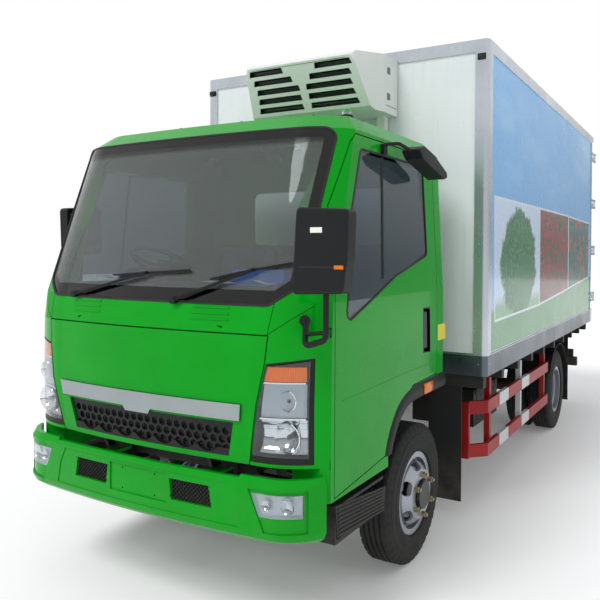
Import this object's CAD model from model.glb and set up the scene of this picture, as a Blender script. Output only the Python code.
from math import cos, pi, radians, sin

import bmesh
import bpy
from mathutils import Matrix, Vector
from mathutils.bvhtree import BVHTree


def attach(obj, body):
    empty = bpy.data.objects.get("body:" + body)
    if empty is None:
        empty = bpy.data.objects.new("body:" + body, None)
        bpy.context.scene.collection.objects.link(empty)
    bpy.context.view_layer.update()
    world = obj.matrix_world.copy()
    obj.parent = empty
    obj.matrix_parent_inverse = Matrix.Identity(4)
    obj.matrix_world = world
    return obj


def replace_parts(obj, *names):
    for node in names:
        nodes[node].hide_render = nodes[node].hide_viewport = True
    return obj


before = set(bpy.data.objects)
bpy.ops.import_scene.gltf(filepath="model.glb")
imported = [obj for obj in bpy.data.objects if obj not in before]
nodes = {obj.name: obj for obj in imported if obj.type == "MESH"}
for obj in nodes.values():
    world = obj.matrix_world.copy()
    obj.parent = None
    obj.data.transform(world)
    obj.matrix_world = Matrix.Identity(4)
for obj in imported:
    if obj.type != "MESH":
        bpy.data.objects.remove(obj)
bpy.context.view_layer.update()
print("frame loaded:", len(nodes), "nodes")


def srgb(red, green, blue):
    # screen values 0-255 to the linear colour that the shader sockets take
    def channel(value):
        value /= 255
        return value / 12.92 if value <= 0.04045 else ((value + 0.055) / 1.055) ** 2.4
    return (channel(red), channel(green), channel(blue), 1.0)


def feed(tree, socket, value):
    # a socket takes a plain value or another node's output
    if isinstance(value, bpy.types.NodeSocket):
        tree.links.new(value, socket)
    else:
        socket.default_value = value


def mathNode(tree, operation, first, second=None, clamp=False):
    node = tree.nodes.new("ShaderNodeMath")
    node.operation = operation
    node.use_clamp = clamp
    feed(tree, node.inputs[0], first)
    if second is not None:
        feed(tree, node.inputs[1], second)
    return node.outputs[0]


def times(tree, product, *others):
    for other in others:
        product = mathNode(tree, "MULTIPLY", product, other)
    return product


def plus(tree, first, second):
    return mathNode(tree, "ADD", first, second)


def minus(tree, first, second):
    return mathNode(tree, "SUBTRACT", first, second)


def within(tree, value, low, high):
    # one between two values
    return times(tree, mathNode(tree, "GREATER_THAN", value, low), mathNode(tree, "LESS_THAN", value, high))


def reachNode(tree, across, up):
    # distance from a centre, from two offsets
    return mathNode(tree, "SQRT", plus(tree, times(tree, across, across), times(tree, up, up)))


def noiseNode(tree, vector, scale, detail=3.0, rough=0.5):
    node = tree.nodes.new("ShaderNodeTexNoise")
    for name, value in (("Vector", vector), ("Scale", scale), ("Detail", detail), ("Roughness", rough)):
        feed(tree, node.inputs[name], value)
    return node.outputs["Fac"]


def rangeNode(tree, value, low, high, toLow=0.0, toHigh=1.0):
    node = tree.nodes.new("ShaderNodeMapRange")
    limits = (("Value", value), ("From Min", low), ("From Max", high), ("To Min", toLow), ("To Max", toHigh))
    for name, number in limits:
        feed(tree, node.inputs[name], number)
    return node.outputs["Result"]


def newGroup(name, inputs, outputs=("Mask",)):
    # a group of values: its inputs with their defaults, and the names of its outputs
    group = bpy.data.node_groups.new(name, "ShaderNodeTree")
    for socketName, value in inputs.items():
        socket = group.interface.new_socket(name=socketName, in_out="INPUT", socket_type="NodeSocketFloat")
        socket.default_value = value
    for socketName in outputs:
        group.interface.new_socket(name=socketName, in_out="OUTPUT", socket_type="NodeSocketFloat")
    given = group.nodes.new("NodeGroupInput").outputs
    out = group.nodes.new("NodeGroupOutput").inputs
    place = group.nodes.new("ShaderNodeTexCoord").outputs["Object"]
    return group, given, out, place


def giveMask(group, given, out, first, second):
    # the mask is two patterns times the amount
    mask = mathNode(group, "MULTIPLY", times(group, first, second), given["Amount"], True)
    group.links.new(mask, out["Mask"])
    return group


def makeRoadDust():
    # dust that settles low on the truck and thins out upwards
    group, given, out, place = newGroup("roadDust", {"Top": 1.2, "Full": 0.3, "Amount": 0.5, "Scale": 9.0})
    split = group.nodes.new("ShaderNodeSeparateXYZ")
    group.links.new(place, split.inputs[0])
    height = rangeNode(group, split.outputs["Z"], given["Top"], given["Full"])
    cloud = rangeNode(group, noiseNode(group, place, given["Scale"], 6.0, 0.62), 0.32, 0.72)
    speck = rangeNode(group, noiseNode(group, place, 160.0, 2.0, 0.5), 0.35, 0.75)
    mixed = plus(group, times(group, cloud, 0.7), times(group, speck, 0.3))
    return giveMask(group, given, out, mixed, height)


def makeFineGrain():
    group, given, out, place = newGroup("fineGrain", {"Scale": 200.0, "Patch": 3.0}, ("Height", "Tone"))
    group.links.new(noiseNode(group, place, given["Scale"], 3.0, 0.6), out["Height"])
    tone = rangeNode(group, noiseNode(group, place, given["Patch"], 5.0, 0.55), 0.3, 0.7)
    group.links.new(tone, out["Tone"])
    return group


def makeRainStreaks():
    # narrow vertical runs of dirt
    group, given, out, place = newGroup("rainStreaks", {"Width": 30.0, "Amount": 0.3})
    stretch = group.nodes.new("ShaderNodeMapping")
    stretch.inputs["Scale"].default_value = (1.0, 1.0, 0.045)
    group.links.new(place, stretch.inputs["Vector"])
    runs = noiseNode(group, stretch.outputs["Vector"], given["Width"], 4.0, 0.6)
    patches = rangeNode(group, noiseNode(group, place, 1.3, 3.0, 0.5), 0.35, 0.7)
    return giveMask(group, given, out, rangeNode(group, runs, 0.52, 0.75), patches)


def makeEdgeWear():
    # rubbed edges: where a rounded normal departs from the flat one
    group, given, out, place = newGroup("edgeWear", {"Reach": 0.004, "Amount": 0.6})
    rounded = group.nodes.new("ShaderNodeBevel")
    rounded.samples = 4
    group.links.new(given["Reach"], rounded.inputs["Radius"])
    flat = group.nodes.new("ShaderNodeNewGeometry")
    facing = group.nodes.new("ShaderNodeVectorMath")
    facing.operation = "DOT_PRODUCT"
    group.links.new(rounded.outputs["Normal"], facing.inputs[0])
    group.links.new(flat.outputs["Normal"], facing.inputs[1])
    broken = rangeNode(group, noiseNode(group, place, 55.0, 4.0, 0.6), 0.42, 0.62)
    edge = rangeNode(group, facing.outputs["Value"], 0.985, 0.82)
    return giveMask(group, given, out, edge, broken)


# shader groups shared by several finishes: each gives only masks and values
groups = {"dust": makeRoadDust(), "grain": makeFineGrain(), "streaks": makeRainStreaks(),
          "edges": makeEdgeWear()}
wearLook = {"dustColour": srgb(150, 138, 120), "dustRough": 0.85, "streakRough": 0.7}
print("shader groups made")


def placeGroup(tree, key, **values):
    node = tree.nodes.new("ShaderNodeGroup")
    node.node_tree = groups[key]
    for name, value in values.items():
        node.inputs[name].default_value = value
    return node


mixSockets = {"RGBA": (6, 7, 2), "FLOAT": (2, 3, 0)}  # the two inputs and the output of each kind


def mixNode(tree, kind, mask, first, second):
    node = tree.nodes.new("ShaderNodeMix")
    node.data_type = kind
    low, high, out = mixSockets[kind]
    feed(tree, node.inputs["Factor"], mask)
    feed(tree, node.inputs[low], first)
    feed(tree, node.inputs[high], second)
    return node.outputs[out]


def mixColour(tree, mask, first, second):
    return mixNode(tree, "RGBA", mask, first, second)


def mixValue(tree, mask, first, second):
    return mixNode(tree, "FLOAT", mask, first, second)


def startFinish(name):
    material = bpy.data.materials.new(name)
    material.use_nodes = True
    return material, material.node_tree, material.node_tree.nodes["Principled BSDF"]


def makeFinish(name, look, paint=None):
    # paint(tree, colour) may lay a pattern over the plain colour before the wear goes on
    material, tree, shader = startFinish(name)
    for socket, value in look.get("sockets", {}).items():
        shader.inputs[socket].default_value = value
    shader.inputs["Metallic"].default_value = look.get("metallic", 0.0)
    grain = placeGroup(tree, "grain", Scale=look.get("grainScale", 220.0), Patch=look.get("patch", 3.0))
    colour = mixColour(tree, grain.outputs["Tone"], look["colour"], look.get("second", look["colour"]))
    if paint:
        colour = paint(tree, colour)
    rough = rangeNode(tree, grain.outputs["Tone"], 0.0, 1.0, *look["rough"])
    if "edges" in look:
        reach, amount, bare = look["edges"]
        worn = placeGroup(tree, "edges", Reach=reach, Amount=amount).outputs["Mask"]
        colour = mixColour(tree, worn, colour, bare)
    if "streaks" in look:
        width, amount, stain = look["streaks"]
        runs = placeGroup(tree, "streaks", Width=width, Amount=amount).outputs["Mask"]
        colour = mixColour(tree, runs, colour, stain)
        rough = mixValue(tree, runs, rough, wearLook["streakRough"])
    if "dust" in look:
        top, full, amount = look["dust"]
        dirt = placeGroup(tree, "dust", Top=top, Full=full, Amount=amount).outputs["Mask"]
        colour = mixColour(tree, dirt, colour, wearLook["dustColour"])
        rough = mixValue(tree, dirt, rough, wearLook["dustRough"])
    tree.links.new(colour, shader.inputs["Base Color"])
    tree.links.new(rough, shader.inputs["Roughness"])
    if look.get("bump", 0.0) > 0:
        bump = tree.nodes.new("ShaderNodeBump")
        bump.inputs["Strength"].default_value = look["bump"]
        bump.inputs["Distance"].default_value = look.get("bumpDepth", 0.001)
        tree.links.new(grain.outputs["Height"], bump.inputs["Height"])
        tree.links.new(bump.outputs["Normal"], shader.inputs["Normal"])
    return material


def splitPlace(tree):
    place = tree.nodes.new("ShaderNodeTexCoord").outputs["Object"]
    split = tree.nodes.new("ShaderNodeSeparateXYZ")
    tree.links.new(place, split.inputs[0])
    return place, split.outputs


def insideMask(tree, across, up, outline, grow=0.0, soft=0.0):
    # one inside a convex outline of (across, up) pairs that runs anticlockwise
    nearest = None
    for (a0, b0), (a1, b1) in zip(outline, outline[1:] + outline[:1]):
        length = ((a1 - a0) ** 2 + (b1 - b0) ** 2) ** 0.5
        nx, ny = -(b1 - b0) / length, (a1 - a0) / length
        edge = minus(tree, plus(tree, times(tree, across, nx), times(tree, up, ny)), nx * a0 + ny * b0)
        nearest = edge if nearest is None else mathNode(tree, "MINIMUM", nearest, edge)
    if soft:
        return rangeNode(tree, nearest, -grow, -grow + soft)
    return mathNode(tree, "GREATER_THAN", nearest, -grow)


# colours, roughness from low to high, dust as (top, full, amount), streaks as (width, amount, colour)
# and edges as (reach, amount, colour)
looks = {
    "cabGreen": {"colour": srgb(0, 152, 26), "second": srgb(0, 142, 22), "rough": (0.22, 0.3),
                 "grainScale": 420.0, "bump": 0.03, "bumpDepth": 0.0004, "dust": (0.85, 0.45, 0.07),
                 "edges": (0.003, 0.2, srgb(70, 180, 80)),
                 "sockets": {"Coat Weight": 0.22, "Coat Roughness": 0.03, "Specular IOR Level": 0.12,
                             "Specular Tint": (0.1, 1.0, 0.2, 1.0)}},
    "chassisBlack": {"colour": srgb(20, 20, 22), "second": srgb(30, 28, 27), "rough": (0.5, 0.66),
                     "grainScale": 150.0, "bump": 0.15, "dust": (1.05, 0.35, 0.22),
                     "edges": (0.003, 0.5, srgb(96, 82, 70))},
    "castIron": {"colour": srgb(34, 33, 33), "second": srgb(54, 45, 38), "rough": (0.6, 0.8), "metallic": 0.3,
                 "grainScale": 90.0, "bump": 0.5, "dust": (0.8, 0.2, 0.3)},
    "tankPaint": {"colour": srgb(38, 39, 41), "second": srgb(48, 47, 46), "rough": (0.35, 0.5),
                  "grainScale": 180.0, "bump": 0.08, "dust": (1.0, 0.4, 0.2),
                  "edges": (0.003, 0.5, srgb(110, 108, 104))},
    "blackPlastic": {"colour": srgb(13, 14, 16), "second": srgb(19, 20, 22), "rough": (0.42, 0.55),
                     "sockets": {"Specular IOR Level": 0.3},
                     "grainScale": 900.0, "bump": 0.2, "bumpDepth": 0.0004, "dust": (1.0, 0.3, 0.10),
                     "edges": (0.002, 0.35, srgb(78, 78, 78))},
    "flapRubber": {"colour": srgb(17, 17, 18), "second": srgb(25, 25, 25), "rough": (0.7, 0.85),
                   "grainScale": 500.0, "bump": 0.25, "dust": (0.5, 0.1, 0.28)},
    "boxWhite": {"colour": srgb(226, 231, 232), "second": srgb(219, 226, 229), "rough": (0.25, 0.34),
                 "grainScale": 120.0, "bump": 0.04, "streaks": (26.0, 0.35, srgb(168, 170, 168)),
                 "dust": (1.3, 0.9, 0.2), "sockets": {"Coat Weight": 0.25, "Coat Roughness": 0.1}},
    "unitWhite": {"colour": srgb(226, 229, 226), "second": srgb(220, 224, 222), "rough": (0.3, 0.38),
                  "grainScale": 500.0, "bump": 0.06, "streaks": (40.0, 0.25, srgb(170, 172, 168))},
    "postAluminium": {"colour": srgb(206, 212, 218), "second": srgb(190, 198, 206), "rough": (0.2, 0.34),
                      "metallic": 0.9, "grainScale": 260.0, "bump": 0.04, "dust": (1.2, 0.9, 0.25),
                      "streaks": (60.0, 0.3, srgb(130, 134, 138)),
                      "edges": (0.002, 0.4, srgb(236, 238, 240))},
    "skirtSteel": {"colour": srgb(88, 98, 107), "second": srgb(74, 84, 92), "rough": (0.3, 0.44),
                   "metallic": 0.6, "grainScale": 260.0, "bump": 0.05, "dust": (1.15, 0.85, 0.4),
                   "streaks": (70.0, 0.4, srgb(78, 80, 82))},
    "wheelSilver": {"colour": srgb(172, 178, 186), "second": srgb(150, 156, 164), "rough": (0.28, 0.4),
                    "metallic": 0.7, "grainScale": 300.0, "bump": 0.06, "dust": (0.75, 0.15, 0.12),
                    "edges": (0.002, 0.4, srgb(214, 216, 218))},
    "tyreRubber": {"colour": srgb(24, 25, 27), "second": srgb(31, 32, 33), "rough": (0.68, 0.82),
                   "grainScale": 380.0, "bump": 0.22, "bumpDepth": 0.0008, "dust": (0.8, 0.05, 0.10),
                   "sockets": {"Specular IOR Level": 0.3}},
    "chromeTrim": {"colour": srgb(160, 168, 170), "second": srgb(150, 158, 160), "rough": (0.06, 0.12),
                   "metallic": 1.0, "dust": (1.2, 0.8, 0.1)},
    "insideGrey": {"colour": srgb(70, 72, 76), "second": srgb(62, 64, 68), "rough": (0.55, 0.68),
                   "grainScale": 700.0, "bump": 0.3},
    "seatCloth": {"colour": srgb(84, 88, 94), "second": srgb(66, 70, 78), "rough": (0.8, 0.92),
                  "grainScale": 900.0, "bump": 0.5, "sockets": {"Sheen Weight": 0.3}},
    "guardRed": {"colour": srgb(166, 12, 22), "second": srgb(146, 10, 20), "rough": (0.3, 0.4),
                 "grainScale": 260.0, "bump": 0.06, "dust": (0.95, 0.35, 0.15),
                 "edges": (0.003, 0.4, srgb(200, 90, 84)), "sockets": {"Specular IOR Level": 0.25}},
    "sidePanel": {"colour": srgb(226, 230, 232), "second": srgb(220, 226, 230), "rough": (0.22, 0.3),
                  "grainScale": 140.0, "bump": 0.03, "dust": (1.35, 1.0, 0.15),
                  "streaks": (30.0, 0.2, srgb(160, 170, 176)),
                  "sockets": {"Coat Weight": 0.4, "Coat Roughness": 0.08}},
    "lampGrey": {"colour": srgb(112, 116, 120), "second": srgb(96, 100, 104), "rough": (0.3, 0.4)},
    "lampSilver": {"colour": srgb(232, 234, 236), "second": srgb(222, 225, 228), "rough": (0.05, 0.1),
                   "metallic": 1.0},
    "sealRubber": {"colour": srgb(20, 20, 21), "second": srgb(28, 28, 28), "rough": (0.5, 0.65),
                   "grainScale": 500.0, "bump": 0.15, "bumpDepth": 0.0004},
    "mirrorSilver": {"colour": srgb(205, 210, 214), "second": srgb(200, 206, 210), "rough": (0.01, 0.03),
                     "metallic": 1.0},
    "paperWhite": {"colour": srgb(238, 238, 232), "second": srgb(228, 228, 222), "rough": (0.7, 0.8),
                   "grainScale": 700.0, "bump": 0.1},
    "folderBlue": {"colour": srgb(40, 120, 226), "second": srgb(34, 108, 210), "rough": (0.4, 0.5)},
    "trimWhite": {"colour": srgb(232, 236, 238), "second": srgb(222, 228, 232), "rough": (0.35, 0.45)},
    "unitGrey": {"colour": srgb(120, 124, 124), "second": srgb(104, 108, 108), "rough": (0.5, 0.6)},
    "labelYellow": {"colour": srgb(222, 214, 62), "second": srgb(212, 202, 54), "rough": (0.4, 0.5)},
    "strapSteel": {"colour": srgb(92, 94, 96), "second": srgb(74, 70, 66), "rough": (0.35, 0.55),
                   "metallic": 0.7, "grainScale": 200.0, "bump": 0.1, "dust": (1.0, 0.3, 0.4)},
    "insideDark": {"colour": srgb(34, 35, 38), "second": srgb(28, 29, 31), "rough": (0.45, 0.6),
                   "grainScale": 800.0, "bump": 0.2, "bumpDepth": 0.0004},
    "lampCell": {"colour": srgb(214, 220, 226), "second": srgb(200, 208, 214), "rough": (0.12, 0.2),
                 "metallic": 0.3,
                 "sockets": {"Emission Color": srgb(214, 222, 230), "Emission Strength": 0.12}},
    "amberCell": {"colour": srgb(238, 128, 10), "second": srgb(226, 112, 6), "rough": (0.15, 0.25),
                  "sockets": {"Emission Color": srgb(240, 120, 8), "Emission Strength": 0.35}},
}


def makeGlass(name, colour, rough=0.0, transmission=1.0, grime=0.1, clearArea=None):
    material, tree, shader = startFinish(name)
    shader.inputs["Transmission Weight"].default_value = transmission
    shader.inputs["IOR"].default_value = 1.45
    grain = placeGroup(tree, "grain", Scale=300.0, Patch=4.0)
    runs = placeGroup(tree, "streaks", Width=24.0, Amount=grime)
    tint = mixColour(tree, grain.outputs["Tone"], colour, tuple(c * 0.96 for c in colour[:3]) + (1.0,))
    if clearArea:
        # clearArea(tree, split) is one where the pane is clear and nought on its black border
        clear = clearArea(tree, splitPlace(tree)[1])
        tint = mixColour(tree, clear, srgb(4, 4, 5), tint)
    tree.links.new(tint, shader.inputs["Base Color"])
    tree.links.new(mixValue(tree, runs.outputs["Mask"], rough, 0.35), shader.inputs["Roughness"])
    return material


guardBands = {"middles": (-0.42, 0.22), "half": 0.12, "white": srgb(206, 210, 212)}


def paintGuard(tree, colour):
    # white bands on the red side guard
    split = splitPlace(tree)[1]
    bands = None
    for middle in guardBands["middles"]:
        distance = mathNode(tree, "ABSOLUTE", minus(tree, split["Y"], middle))
        band = mathNode(tree, "LESS_THAN", distance, guardBands["half"])
        bands = band if bands is None else mathNode(tree, "ADD", bands, band, True)
    return mixColour(tree, bands, colour, guardBands["white"])


frontHub = {"y": -1.8475, "z": 0.385, "radius": 0.086, "nutX": 0.9825, "dark": srgb(58, 62, 64),
            "brass": srgb(172, 156, 122)}


def paintNuts(tree, colour):
    # brass wheel nuts, and the dark hub end inside their circle
    split = splitPlace(tree)[1]
    out = mathNode(tree, "ABSOLUTE", split["X"])
    away = reachNode(tree, minus(tree, split["Y"], frontHub["y"]), minus(tree, split["Z"], frontHub["z"]))
    hub = mathNode(tree, "LESS_THAN", away, frontHub["radius"])
    colour = mixColour(tree, hub, colour, frontHub["dark"])
    nuts = times(tree, mathNode(tree, "GREATER_THAN", out, frontHub["nutX"]),
                 mathNode(tree, "GREATER_THAN", away, frontHub["radius"]))
    return mixColour(tree, nuts, colour, frontHub["brass"])


sideArt = {
    "low": 1.081, "high": 3.011, "wallX": 1.10, "edge": 0.016, "edgeColour": srgb(214, 226, 240),
    "sky": (srgb(140, 188, 232), srgb(8, 154, 224)), "cloud": srgb(170, 218, 248), "cloudy": 0.6,
    "meadow": 0.11, "slope": 0.016, "ripple": 0.05, "grass": (srgb(10, 112, 56), srgb(84, 168, 104)),
    "bushZ": 1.66, "bushHalf": (0.52, 0.40), "bushLeaves": (srgb(60, 170, 84), srgb(4, 92, 62)),
    "ground": (srgb(112, 168, 128), srgb(196, 216, 238)), "fruit": (srgb(150, 0, 22), srgb(226, 26, 44)),
    "fruitLeaves": (srgb(84, 150, 100), srgb(70, 6, 30)), "leaves": (srgb(60, 160, 136), srgb(4, 74, 74)),
    "dots": srgb(206, 30, 40),
    "pictures": (
        ((-0.960, 1.290), (0.300, 1.315), (0.290, 2.095), (-0.985, 2.095), "bush"),
        ((0.335, 1.318), (1.540, 1.390), (1.530, 2.092), (0.325, 2.096), "berries"),
        ((1.575, 1.395), (2.760, 1.470), (2.760, 2.070), (1.565, 2.090), "leaves"))}


def voronoiNode(tree, place, scale):
    cells = tree.nodes.new("ShaderNodeTexVoronoi")
    cells.inputs["Scale"].default_value = scale
    tree.links.new(place, cells.inputs["Vector"])
    return cells.outputs["Distance"]


def paintBush(tree, place, split, fine, outline):
    # round crown with a ragged edge, over pale ground
    middle = (outline[0][0] + outline[1][0]) / 2
    wide, tall = sideArt["bushHalf"]
    away = reachNode(tree, mathNode(tree, "DIVIDE", minus(tree, split["Y"], middle), wide),
                     mathNode(tree, "DIVIDE", minus(tree, split["Z"], sideArt["bushZ"]), tall))
    ragged = plus(tree, away, times(tree, noiseNode(tree, place, 9.0, 5.0, 0.7), 0.55))
    leaves = mixColour(tree, fine, *sideArt["bushLeaves"])
    ground = mixColour(tree, rangeNode(tree, split["Z"], 1.36, 1.44), *sideArt["ground"])
    return mixColour(tree, rangeNode(tree, ragged, 1.28, 1.20), ground, leaves)


def paintBerries(tree, place, fine):
    spots = rangeNode(tree, voronoiNode(tree, place, 13.0), 0.52, 0.46)
    glow = rangeNode(tree, voronoiNode(tree, place, 11.0), 0.30, 0.02)
    fruit = mixColour(tree, glow, *sideArt["fruit"])
    return mixColour(tree, spots, mixColour(tree, fine, *sideArt["fruitLeaves"]), fruit)


def paintLeaves(tree, place, fine):
    dots = rangeNode(tree, voronoiNode(tree, place, 7.0), 0.34, 0.28)
    return mixColour(tree, dots, mixColour(tree, fine, *sideArt["leaves"]), sideArt["dots"])


def paintSideArt(tree, colour):
    # sky over a meadow, with three pictures of plants side by side
    place, split = splitPlace(tree)
    up = rangeNode(tree, split["Z"], sideArt["low"], sideArt["high"])
    sky = mixColour(tree, rangeNode(tree, up, 0.1, 0.95), *sideArt["sky"])
    wide = tree.nodes.new("ShaderNodeMapping")
    wide.inputs["Scale"].default_value = (1.0, 0.45, 1.5)
    tree.links.new(place, wide.inputs["Vector"])
    clouds = rangeNode(tree, noiseNode(tree, wide.outputs["Vector"], 1.5, 6.0, 0.58), 0.5, 0.82)
    sky = mixColour(tree, times(tree, clouds, sideArt["cloudy"]), sky, sideArt["cloud"])
    slope = plus(tree, times(tree, plus(tree, split["Y"], 1.0), sideArt["slope"]), sideArt["meadow"])
    hill = plus(tree, slope, times(tree, noiseNode(tree, place, 3.0, 4.0, 0.6), sideArt["ripple"]))
    grass = mixColour(tree, noiseNode(tree, place, 60.0, 5.0, 0.7), *sideArt["grass"])
    art = mixColour(tree, rangeNode(tree, up, plus(tree, hill, 0.02), hill), sky, grass)
    for *outline, kind in sideArt["pictures"]:
        fine = rangeNode(tree, voronoiNode(tree, place, 34.0), 0.0, 0.62)
        if kind == "bush":
            inner = paintBush(tree, place, split, fine, outline)
        else:
            inner = (paintBerries if kind == "berries" else paintLeaves)(tree, place, fine)
        framed = insideMask(tree, split["Y"], split["Z"], outline, sideArt["edge"])
        art = mixColour(tree, framed, art, sideArt["edgeColour"])
        art = mixColour(tree, insideMask(tree, split["Y"], split["Z"], outline), art, inner)
    outside = mathNode(tree, "GREATER_THAN", mathNode(tree, "ABSOLUTE", split["X"]), sideArt["wallX"])
    return mixColour(tree, outside, colour, art)


doorHandle = {"outline": [(-1.738, 1.160), (-1.628, 1.152), (-1.640, 1.412), (-1.740, 1.414)], "grow": 0.004,
              "black": srgb(14, 15, 17)}


def paintHandle(tree, colour):
    # the handle's pocket and grip are black plastic
    split = splitPlace(tree)[1]
    pocket = insideMask(tree, split["Y"], split["Z"], doorHandle["outline"], doorHandle["grow"])
    return mixColour(tree, pocket, colour, doorHandle["black"])


lowRail = {"top": 1.078, "full": 1.072, "grey": srgb(92, 102, 112)}


def paintLowRail(tree, colour):
    # the rail under the side pictures is darker than the posts
    split = splitPlace(tree)[1]
    return mixColour(tree, rangeNode(tree, split["Z"], lowRail["top"], lowRail["full"]), colour,
                     lowRail["grey"])


# the cooling unit's front leans: y = lean * z + start
unitSlots = {"lean": -0.5422, "start": -0.0332, "deep": (0.006, 0.075), "half": 0.402, "band": (2.688, 2.956),
             "fins": 900.0, "dark": (srgb(10, 13, 15), srgb(34, 40, 42))}


def paintSlots(tree, colour):
    # dark fins deep in the louvre slots
    split = splitPlace(tree)[1]
    front = plus(tree, times(tree, split["Z"], unitSlots["lean"]), unitSlots["start"])
    deep = within(tree, minus(tree, split["Y"], front), *unitSlots["deep"])
    middle = mathNode(tree, "LESS_THAN", mathNode(tree, "ABSOLUTE", split["X"]), unitSlots["half"])
    band = within(tree, split["Z"], *unitSlots["band"])
    fins = rangeNode(tree, mathNode(tree, "SINE", times(tree, split["X"], unitSlots["fins"])), -1.0, 1.0)
    dark = mixColour(tree, fins, *unitSlots["dark"])
    return mixColour(tree, times(tree, deep, middle, band), colour, dark)


bumperPocket = {"outline": [(0.200, 0.684), (0.214, 0.586), (0.446, 0.586), (0.428, 0.684)], "grow": -0.001,
                "black": srgb(12, 13, 14)}


def paintPockets(tree, colour):
    # black floor in the bumper's mesh pockets
    split = splitPlace(tree)[1]
    out = mathNode(tree, "ABSOLUTE", split["X"])
    pocket = insideMask(tree, out, split["Z"], bumperPocket["outline"], bumperPocket["grow"])
    return mixColour(tree, pocket, colour, bumperPocket["black"])


# finishes that carry a pattern, each with the look under it
patterned = {"guardRed": ("guardRed", paintGuard), "doorGreen": ("cabGreen", paintHandle),
             "bumperGreen": ("cabGreen", paintPockets), "sideTrim": ("postAluminium", paintLowRail),
             "unitFront": ("unitWhite", paintSlots), "wheelFront": ("wheelSilver", paintNuts),
             "sidePanel": ("sidePanel", paintSideArt)}
finishes = {}
for name in {**looks, **patterned}:
    look, paint = patterned.get(name, (name, None))
    finishes[name] = makeFinish(name, looks[look], paint)

screenBorder = {"outline": [(-0.690, 1.512), (0.690, 1.512), (0.800, 1.590), (0.822, 2.306), (-0.822, 2.306),
                            (-0.800, 1.590)],
                "grow": -0.030, "soft": 0.003, "low": (1.560, 1.563), "shade": (2.262, 2.240, 0.25, 1.0),
                "rearY": -2.0}
doorBorder = {"outline": [(-2.560, 1.915), (-2.643, 1.424), (-1.670, 1.728), (-1.680, 2.221),
                          (-2.440, 2.218)],
              "grow": -0.004, "soft": 0.003}


def maskScreen(tree, split):
    # black border of the windscreen, wider below, with a shaded band on top
    clear = insideMask(tree, split["X"], split["Z"],
                       *(screenBorder[key] for key in ("outline", "grow", "soft")))
    clear = times(tree, clear, rangeNode(tree, split["Z"], *screenBorder["low"]),
                  rangeNode(tree, split["Z"], *screenBorder["shade"]))
    rear = mathNode(tree, "GREATER_THAN", split["Y"], screenBorder["rearY"])
    return mathNode(tree, "MAXIMUM", clear, rear)


def maskDoor(tree, split):
    return insideMask(tree, split["Y"], split["Z"], *(doorBorder[key] for key in ("outline", "grow", "soft")))


glassLooks = {
    "screenGlass": {"colour": srgb(212, 220, 220), "transmission": 0.935, "grime": 0.25,
                    "clearArea": maskScreen},
    "doorGlass": {"colour": srgb(132, 152, 168), "transmission": 0.86, "grime": 0.2, "clearArea": maskDoor},
    "clearLens": {"colour": srgb(236, 240, 242), "rough": 0.02},
    "amberLens": {"colour": srgb(246, 128, 14), "rough": 0.15, "transmission": 0.25},
    "redLens": {"colour": srgb(190, 22, 18), "rough": 0.12, "transmission": 0.6},
    "clearFilm": {"colour": srgb(240, 243, 246), "rough": 0.06},
}
for name, look in glassLooks.items():
    finishes[name] = makeGlass(name, **look)
print("finishes made:", len(finishes))

nodeFinish = {
    "chassisBlack": ("frame_rails", "cross_members", "front_springs", "rear_springs", "prop_shaft",
                     "box_subframe", "rear_guard"),
    "castIron": ("front_axle_beam", "rear_axle", "engine", "knuckle_left", "knuckle_right", "tie_rod"),
    "tankPaint": ("fuel_tank",),
    "guardRed": ("side_guard_left", "side_guard_right"),
    "blackPlastic": ("battery_box", "rear_mudguards", "steps", "mirror_left", "mirror_right",
                     "kerb_mirror", "wipers", "arch_trim", "grille", "steering_wheel"),
    "flapRubber": ("front_mudflaps",),
    "cabGreen": ("cab_shell", "front_flap"),
    "doorGreen": ("door_left", "door_right"),
    "bumperGreen": ("front_bumper",),
    "boxWhite": ("box_front_wall", "box_roof", "rear_door_left", "rear_door_right"),
    "unitFront": ("cooling_unit",),
    "sidePanel": ("box_wall_left", "box_wall_right"),
    "postAluminium": ("rear_frame",),
    "sideTrim": ("box_trim",),
    "skirtSteel": ("box_floor",),
    "wheelFront": ("front_rim_left", "front_rim_right"),
    "wheelSilver": ("rear_rims_left", "rear_rims_right"),
    "tyreRubber": ("front_tyre_left", "front_tyre_right", "rear_tyres_left", "rear_tyres_right"),
    "chromeTrim": ("front_strip",),
    "screenGlass": ("cab_glass",),
    "doorGlass": ("door_glass_left", "door_glass_right"),
    "clearLens": ("headlamps", "fog_lamps"),
    "amberLens": ("marker_lamps",),
    "redLens": ("tail_lamps",),
    "insideGrey": ("dashboard",),
    "seatCloth": ("seats",),
}
for finishName, members in nodeFinish.items():
    for node in members:
        nodes[node].data.materials.clear()
        nodes[node].data.materials.append(finishes[finishName])
print("nodes finished:", sum(len(members) for members in nodeFinish.values()))


def addPiece(name, mesh, finish, body, smooth=0.0):
    data = bpy.data.meshes.new(name)
    bmesh.ops.recalc_face_normals(mesh, faces=mesh.faces)
    mesh.to_mesh(data)
    mesh.free()
    piece = bpy.data.objects.new(name, data)
    bpy.context.scene.collection.objects.link(piece)
    data.materials.append(finishes[finish])
    if smooth:
        data.shade_smooth()
        data.set_sharp_from_angle(angle=radians(smooth))
    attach(piece, body)
    return piece


def bevelEdges(mesh, edges, offset, segments):
    return bmesh.ops.bevel(mesh, geom=edges, offset=offset, offset_type="OFFSET", affect="EDGES",
                           segments=segments, profile=0.5, material=-1)["verts"]


def boxInto(mesh, low, high, round=0.0):
    made = bmesh.ops.create_cube(mesh, size=1.0)["verts"]
    middle = (Vector(low) + Vector(high)) / 2
    bmesh.ops.scale(mesh, vec=Vector(high) - Vector(low), verts=made)
    if round:
        made = bevelEdges(mesh, list({edge for vert in made for edge in vert.link_edges}), round, 2)
    bmesh.ops.translate(mesh, vec=middle, verts=list(set(made)))


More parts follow.
